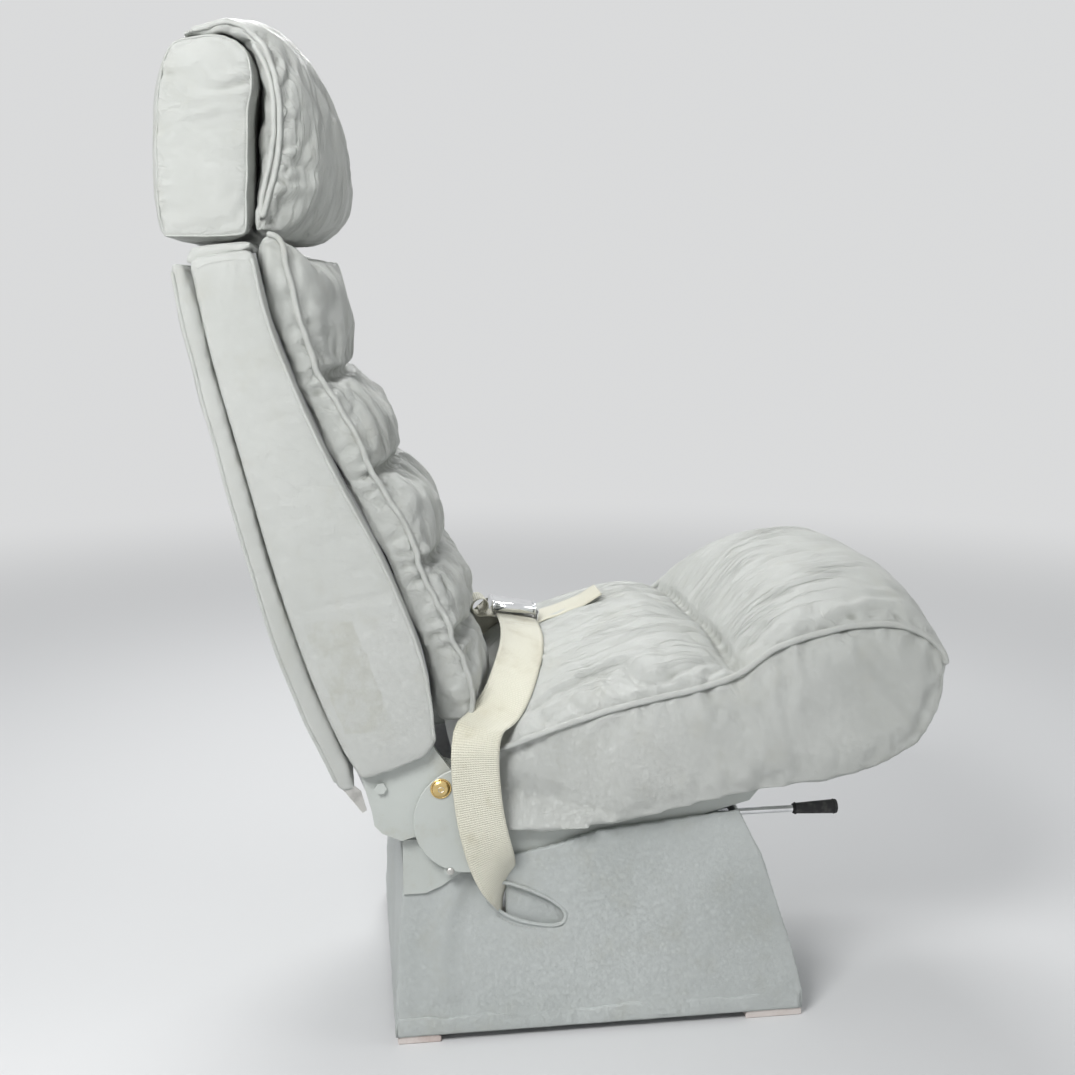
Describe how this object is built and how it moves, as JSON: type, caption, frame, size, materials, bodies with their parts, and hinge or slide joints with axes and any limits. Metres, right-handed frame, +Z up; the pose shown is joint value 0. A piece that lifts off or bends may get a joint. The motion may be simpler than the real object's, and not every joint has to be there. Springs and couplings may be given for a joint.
{
  "type": "aircraft passenger seat",
  "caption": "Single reclining aircraft seat with a leather covered frame, height adjustable headrest, pillowed back, lap belt and a skirted base on feet.",
  "frame": {"origin": "on the floor, at the middle of the seat's width and depth", "axes": "+Z up, the occupant faces -Y, the occupant's right is -X"},
  "size_m": [0.4494, 0.84, 1.077],
  "materials": {
    "seat_leather": "soft grained pale grey leather",
    "skirt_leather": "thin grained pale grey leather over panels",
    "painted_plate": "satin light grey paint",
    "aluminium_frame": "mill finish",
    "plain_steel": "zinc plated",
    "bright_chrome": "bright plated",
    "gold_plated_steel": "yellow passivated plating",
    "grip_rubber": "moulded, matt",
    "belt_webbing": "ribbed woven webbing",
    "foot_plastic": "off white, worn"
  },
  "bodies": {
    "base": {"leg_plate_right": "aluminium_frame", "track_fitting_front_right": "foot_plastic", "track_fitting_rear_right": "foot_plastic", "side_skirt_right": "skirt_leather", "seat_rail_right": "painted_plate", "hinge_cover_right": "painted_plate", "pivot_bolt_right": "gold_plated_steel", "cover_screw_right": "plain_steel", "guard_plate_right": "painted_plate", "belt_webbing_right": "belt_webbing", "belt_shackle_right": "plain_steel", "leg_plate_left": "aluminium_frame", "track_fitting_front_left": "foot_plastic", "track_fitting_rear_left": "foot_plastic", "side_skirt_left": "skirt_leather", "seat_rail_left": "painted_plate", "hinge_cover_left": "painted_plate", "pivot_bolt_left": "gold_plated_steel", "cover_screw_left": "plain_steel", "guard_plate_left": "painted_plate", "belt_webbing_left": "belt_webbing", "belt_shackle_left": "plain_steel", "front_spreader_tube": "aluminium_frame", "rear_spreader_tube": "aluminium_frame", "seat_pan": "aluminium_frame", "lever_bracket": "aluminium_frame", "lock_base_bracket": "aluminium_frame", "front_skirt": "skirt_leather", "rear_skirt": "skirt_leather", "seat_cushion": "seat_leather", "belt_buckle_body": "bright_chrome", "belt_tongue": "plain_steel", "belt_tail": "belt_webbing", "recline_lock_cylinder": "plain_steel"},
    "backrest": {"back_bracket_right": "painted_plate", "back_bracket_left": "painted_plate", "bracket_bolt_right": "painted_plate", "bracket_bolt_left": "painted_plate", "back_rail_right": "aluminium_frame", "back_rail_left": "aluminium_frame", "back_side_pad_right": "seat_leather", "back_side_pad_left": "seat_leather", "headrest_guide_right": "plain_steel", "headrest_guide_left": "plain_steel", "back_top_tube": "aluminium_frame", "back_lower_tube": "aluminium_frame", "back_diaphragm": "aluminium_frame", "back_top_pad": "seat_leather", "back_rear_cover": "seat_leather", "back_cushion": "seat_leather"},
    "headrest": {"headrest_block": "seat_leather", "headrest_pillow": "seat_leather", "headrest_post_right": "bright_chrome", "headrest_post_left": "bright_chrome"},
    "recline_lever": {"recline_lever_rod": "plain_steel", "recline_lever_grip": "grip_rubber"},
    "recline_lock": {"recline_lock_rod": "plain_steel"},
    "buckle_lever": {"belt_buckle_lever": "bright_chrome"}
  },
  "joints": [
    {"name": "back_recline", "type": "hinge", "parent": "base", "child": "backrest", "pos_m": [0, 0.155, 0.299], "axis": [-1, 0, 0], "range_deg": [0, 30]},
    {"name": "headrest_height", "type": "slide", "parent": "backrest", "child": "headrest", "axis": [0, 0.1994, 0.9799], "range_m": [0, 0.08]},
    {"name": "recline_lever_lift", "type": "hinge", "parent": "base", "child": "recline_lever", "pos_m": [-0.088, -0.144, 0.205], "axis": [-1, 0, 0], "range_deg": [0, 8], "stiffness_Nm_per_rad": 2, "springref_deg": -5.73},
    {"name": "lock_rod_slide", "type": "slide", "parent": "base", "child": "recline_lock", "axis": [0, -0.9811, -0.1936], "range_m": [0, 0.03337]},
    {"name": "buckle_lever_lift", "type": "hinge", "parent": "base", "child": "buckle_lever", "pos_m": [0.073, 0.04697, 0.43057], "axis": [0, 0.9816, 0.1908], "range_deg": [0, 70], "stiffness_Nm_per_rad": 0.05, "springref_deg": -11.46}
  ],
  "couplings": [
    {"joint": "lock_rod_slide", "follows": "back_recline", "m_per_rad": 0.062783}
  ]
}
